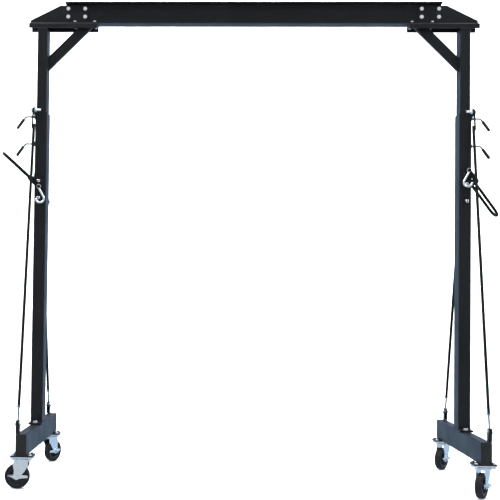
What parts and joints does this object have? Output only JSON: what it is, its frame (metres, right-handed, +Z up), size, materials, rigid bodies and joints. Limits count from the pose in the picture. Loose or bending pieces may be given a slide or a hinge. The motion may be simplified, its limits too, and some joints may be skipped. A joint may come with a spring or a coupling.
{
  "type": "portable gantry crane",
  "caption": "Portable gantry crane: an I-beam on telescoping square-tube masts, each on a braced base with braked swivel casters.",
  "frame": {"origin": "on the floor under the middle of the beam, midway between the two masts", "axes": "+X along the beam, +Y from the gusset-plate side to the back, +Z up"},
  "size_m": [2.4931, 0.9574, 2.389],
  "materials": {
    "black_paint": "satin black powder coat over welded steel",
    "zinc": "bright zinc-plated steel",
    "dark_steel": "black-oxide steel",
    "black_plastic": "fine-grained black plastic",
    "rubber": "soft black rubber sleeve",
    "wheel_core": "dark moulded nylon wheel centre",
    "tyre": "solid black rubber"
  },
  "bodies": {
    "legs": {"base_tube_left": "black_paint", "base_tube_right": "black_paint", "outer_mast_left": "black_paint", "outer_mast_right": "black_paint", "foot_plates": "black_paint", "lever_brackets": "black_paint", "base_end_caps": "black_plastic", "foot_bolts": "zinc", "tie_rod_brackets": "black_paint", "tie_rods": "black_paint", "tie_rod_eyebolts": "dark_steel", "tie_rod_lugs": "black_paint", "tie_rod_bolts": "zinc", "clamp_nuts": "black_paint", "lock_pin_bushes": "black_paint", "caster_mount_plates": "black_paint", "caster_top_plates": "zinc", "caster_plate_bolts": "zinc", "caster_kingpins": "zinc"},
    "upper_frame": {"i_beam": "black_paint", "head_channel_left": "black_paint", "head_channel_right": "black_paint", "gussets": "black_paint", "knee_braces": "black_paint", "inner_mast_left": "black_paint", "inner_mast_right": "black_paint", "web_bolts": "zinc", "flange_bolts": "zinc"},
    "lever_left": {"lift_lever_left": "black_paint"},
    "hooks_left": {"lift_hooks_left": "zinc"},
    "clamp_lower_left": {"clamp_screw_lower_left": "dark_steel", "clamp_grip_lower_left": "rubber"},
    "clamp_upper_left": {"clamp_screw_upper_left": "dark_steel", "clamp_grip_upper_left": "rubber"},
    "pin_lower_left": {"lock_pin_lower_left": "zinc"},
    "pin_upper_left": {"lock_pin_upper_left": "zinc"},
    "lever_right": {"lift_lever_right": "black_paint"},
    "hooks_right": {"lift_hooks_right": "zinc"},
    "clamp_lower_right": {"clamp_screw_lower_right": "dark_steel", "clamp_grip_lower_right": "rubber"},
    "clamp_upper_right": {"clamp_screw_upper_right": "dark_steel", "clamp_grip_upper_right": "rubber"},
    "pin_lower_right": {"lock_pin_lower_right": "zinc"},
    "pin_upper_right": {"lock_pin_upper_right": "zinc"},
    "caster_front_left": {"caster_fork_front_left": "zinc"},
    "wheel_front_left": {"wheel_core_front_left": "wheel_core", "tyre_front_left": "tyre"},
    "brake_front_left": {"brake_lever_front_left": "zinc"},
    "caster_front_right": {"caster_fork_front_right": "zinc"},
    "wheel_front_right": {"wheel_core_front_right": "wheel_core", "tyre_front_right": "tyre"},
    "brake_front_right": {"brake_lever_front_right": "zinc"},
    "caster_rear_left": {"caster_fork_rear_left": "zinc"},
    "wheel_rear_left": {"wheel_core_rear_left": "wheel_core", "tyre_rear_left": "tyre"},
    "brake_rear_left": {"brake_lever_rear_left": "zinc"},
    "caster_rear_right": {"caster_fork_rear_right": "zinc"},
    "wheel_rear_right": {"wheel_core_rear_right": "wheel_core", "tyre_rear_right": "tyre"},
    "brake_rear_right": {"brake_lever_rear_right": "zinc"}
  },
  "joints": [
    {"name": "mast_lift", "type": "slide", "parent": "legs", "child": "upper_frame", "axis": [0, 0, 1], "range_m": [0, 1.02]},
    {"name": "lift_lever_left_swing", "type": "hinge", "parent": "legs", "child": "lever_left", "pos_m": [-1.106, 0, 1.486], "axis": [0, -1, 0], "range_deg": [0, 96]},
    {"name": "lift_hooks_left_hang", "type": "hinge", "parent": "lever_left", "child": "hooks_left", "pos_m": [-1.0577, 0, 1.44251], "axis": [0, -1, 0], "range_deg": [-97, 1]},
    {"name": "clamp_lower_left_turn", "type": "hinge", "parent": "legs", "child": "clamp_lower_left", "pos_m": [-1.1, 0, 1.669], "axis": [-1, 0, 0], "range_deg": [0, 135]},
    {"name": "clamp_upper_left_turn", "type": "hinge", "parent": "legs", "child": "clamp_upper_left", "pos_m": [-1.1, 0, 1.807], "axis": [-1, 0, 0], "range_deg": [0, 135]},
    {"name": "pin_lower_left_push", "type": "slide", "parent": "legs", "child": "pin_lower_left", "axis": [0, 1, 0], "range_m": [0, 0.0088]},
    {"name": "pin_upper_left_push", "type": "slide", "parent": "legs", "child": "pin_upper_left", "axis": [0, 1, 0], "range_m": [0, 0.0088]},
    {"name": "lift_lever_right_swing", "type": "hinge", "parent": "legs", "child": "lever_right", "pos_m": [1.106, 0, 1.486], "axis": [0, -1, 0], "range_deg": [0, 96]},
    {"name": "lift_hooks_right_hang", "type": "hinge", "parent": "lever_right", "child": "hooks_right", "pos_m": [1.06779, 0, 1.53859], "axis": [0, -1, 0], "range_deg": [-97, 1]},
    {"name": "clamp_lower_right_turn", "type": "hinge", "parent": "legs", "child": "clamp_lower_right", "pos_m": [1.1, 0, 1.669], "axis": [1, 0, 0], "range_deg": [0, 135]},
    {"name": "clamp_upper_right_turn", "type": "hinge", "parent": "legs", "child": "clamp_upper_right", "pos_m": [1.1, 0, 1.807], "axis": [1, 0, 0], "range_deg": [0, 135]},
    {"name": "pin_lower_right_push", "type": "slide", "parent": "legs", "child": "pin_lower_right", "axis": [0, 1, 0], "range_m": [0, 0.0088]},
    {"name": "pin_upper_right_push", "type": "slide", "parent": "legs", "child": "pin_upper_right", "axis": [0, 1, 0], "range_m": [0, 0.0088]},
    {"name": "caster_front_left_swivel", "type": "hinge", "parent": "legs", "child": "caster_front_left", "pos_m": [-1.058, -0.402, 0.14], "axis": [0, 0, 1], "continuous": true},
    {"name": "wheel_front_left_spin", "type": "hinge", "parent": "caster_front_left", "child": "wheel_front_left", "pos_m": [-1.082, -0.402, 0.058], "axis": [0, -1, 0], "continuous": true},
    {"name": "brake_front_left_press", "type": "hinge", "parent": "caster_front_left", "child": "brake_front_left", "pos_m": [-1.082, -0.402, 0.058], "axis": [0, -1, 0], "range_deg": [0, 16]},
    {"name": "caster_front_right_swivel", "type": "hinge", "parent": "legs", "child": "caster_front_right", "pos_m": [1.058, -0.402, 0.14], "axis": [0, 0, 1], "continuous": true},
    {"name": "wheel_front_right_spin", "type": "hinge", "parent": "caster_front_right", "child": "wheel_front_right", "pos_m": [1.04528, -0.42235, 0.058], "axis": [0.848, -0.5299, 0], "continuous": true},
    {"name": "brake_front_right_press", "type": "hinge", "parent": "caster_front_right", "child": "brake_front_right", "pos_m": [1.04528, -0.42235, 0.058], "axis": [0.848, -0.5299, 0], "range_deg": [0, 16]},
    {"name": "caster_rear_left_swivel", "type": "hinge", "parent": "legs", "child": "caster_rear_left", "pos_m": [-1.058, 0.402, 0.14], "axis": [0, 0, 1], "continuous": true},
    {"name": "wheel_rear_left_spin", "type": "hinge", "parent": "caster_rear_left", "child": "wheel_rear_left", "pos_m": [-1.046, 0.42279, 0.058], "axis": [-0.866, 0.5, 0], "continuous": true},
    {"name": "brake_rear_left_press", "type": "hinge", "parent": "caster_rear_left", "child": "brake_rear_left", "pos_m": [-1.046, 0.42279, 0.058], "axis": [-0.866, 0.5, 0], "range_deg": [0, 16]},
    {"name": "caster_rear_right_swivel", "type": "hinge", "parent": "legs", "child": "caster_rear_right", "pos_m": [1.058, 0.402, 0.14], "axis": [0, 0, 1], "continuous": true},
    {"name": "wheel_rear_right_spin", "type": "hinge", "parent": "caster_rear_right", "child": "wheel_rear_right", "pos_m": [1.04356, 0.38283, 0.058], "axis": [0.7986, -0.6018, 0], "continuous": true},
    {"name": "brake_rear_right_press", "type": "hinge", "parent": "caster_rear_right", "child": "brake_rear_right", "pos_m": [1.04356, 0.38283, 0.058], "axis": [0.7986, -0.6018, 0], "range_deg": [0, 16]}
  ],
  "couplings": [
    {"joint": "lift_hooks_left_hang", "follows": "lift_lever_left_swing", "ratio": -1},
    {"joint": "lift_hooks_right_hang", "follows": "lift_lever_right_swing", "ratio": -1}
  ]
}
